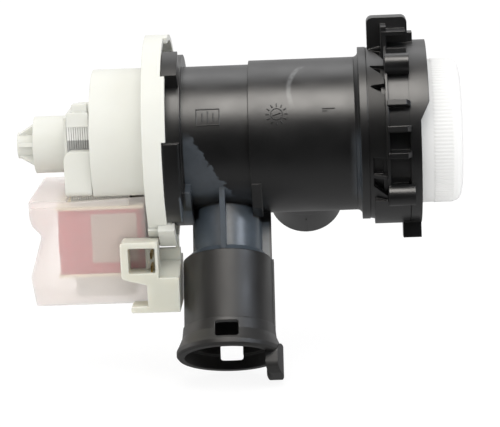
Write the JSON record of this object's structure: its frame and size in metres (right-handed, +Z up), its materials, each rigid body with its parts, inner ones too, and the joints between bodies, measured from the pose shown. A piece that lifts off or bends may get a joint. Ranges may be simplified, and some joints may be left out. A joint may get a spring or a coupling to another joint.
{
  "type": "washer drain pump",
  "caption": "Drain pump with a tubular filter housing, ribbed collar, screw-in filter plug, down-turned hose socket and a synchronous motor with a frosted coil cover.",
  "frame": {"origin": "on the main axis, in the plane of the collar's free edge, where the machine's front panel meets it", "axes": "+X along the main axis out of the collar, towards the filter plug; -X towards the motor; +Z up, with the coil cover below; -Y towards the side that the picture shows"},
  "size_m": [0.197, 0.1219, 0.1537],
  "materials": {
    "black_polypropylene": "moulded, satin gloss",
    "white_polypropylene": "moulded, slightly waxy",
    "electrical_steel": "punched plates",
    "bobbin_nylon": "moulded",
    "red_tape": "polyester tape",
    "label_paper": "plain film, blank",
    "frosted_plastic": "frosted, see-through",
    "connector_nylon": "moulded",
    "terminal_brass": "stamped",
    "bush_carbon": "sintered carbon",
    "seal_rubber": "nitrile rubber",
    "ferrite": "ground ferrite",
    "rotor_plastic": "moulded",
    "shaft_steel": "ground",
    "impeller_plastic": "moulded",
    "plug_plastic": "moulded, slightly see-through"
  },
  "bodies": {
    "housing": {"filter_housing": "black_polypropylene", "motor_carrier": "white_polypropylene", "stator_bracket": "white_polypropylene", "stator_laminations": "electrical_steel", "bobbin_front": "bobbin_nylon", "bobbin_rear": "bobbin_nylon", "winding_front": "red_tape", "winding_rear": "red_tape", "coil_label": "label_paper", "coil_cover": "frosted_plastic", "connector_housing": "connector_nylon", "terminal_blades": "terminal_brass", "bearing_plate": "white_polypropylene", "front_bearing": "bush_carbon", "rear_bearing": "bush_carbon", "shaft_seal": "seal_rubber", "plate_seal": "seal_rubber", "flange_seal": "seal_rubber"},
    "rotor": {"rotor_magnet": "ferrite", "rotor_hub": "rotor_plastic", "rotor_shaft": "shaft_steel", "thrust_washer": "rotor_plastic", "drive_dog": "rotor_plastic", "retaining_ring": "shaft_steel"},
    "impeller": {"impeller": "impeller_plastic", "hub_cover": "impeller_plastic"},
    "plug_seal": {"filter_seal": "seal_rubber"},
    "filter_plug": {"filter_cap": "plug_plastic", "filter_comb": "plug_plastic"}
  },
  "joints": [
    {"name": "rotor_spin", "type": "hinge", "parent": "housing", "child": "rotor", "pos_m": [-0.15, 0, 0], "axis": [1, 0, 0], "continuous": true},
    {"name": "impeller_lost_motion", "type": "hinge", "parent": "rotor", "child": "impeller", "pos_m": [-0.1, 0, 0], "axis": [1, 0, 0], "range_deg": [-125, 125]},
    {"name": "filter_withdraw", "type": "slide", "parent": "housing", "child": "plug_seal", "axis": [1, 0, 0], "range_m": [0, 0.085]},
    {"name": "filter_turn", "type": "hinge", "parent": "plug_seal", "child": "filter_plug", "pos_m": [0, 0, 0], "axis": [1, 0, 0], "range_deg": [0, 306.5]}
  ],
  "couplings": [
    {"joint": "filter_turn", "follows": "filter_withdraw", "rad_per_m": 62.832}
  ]
}
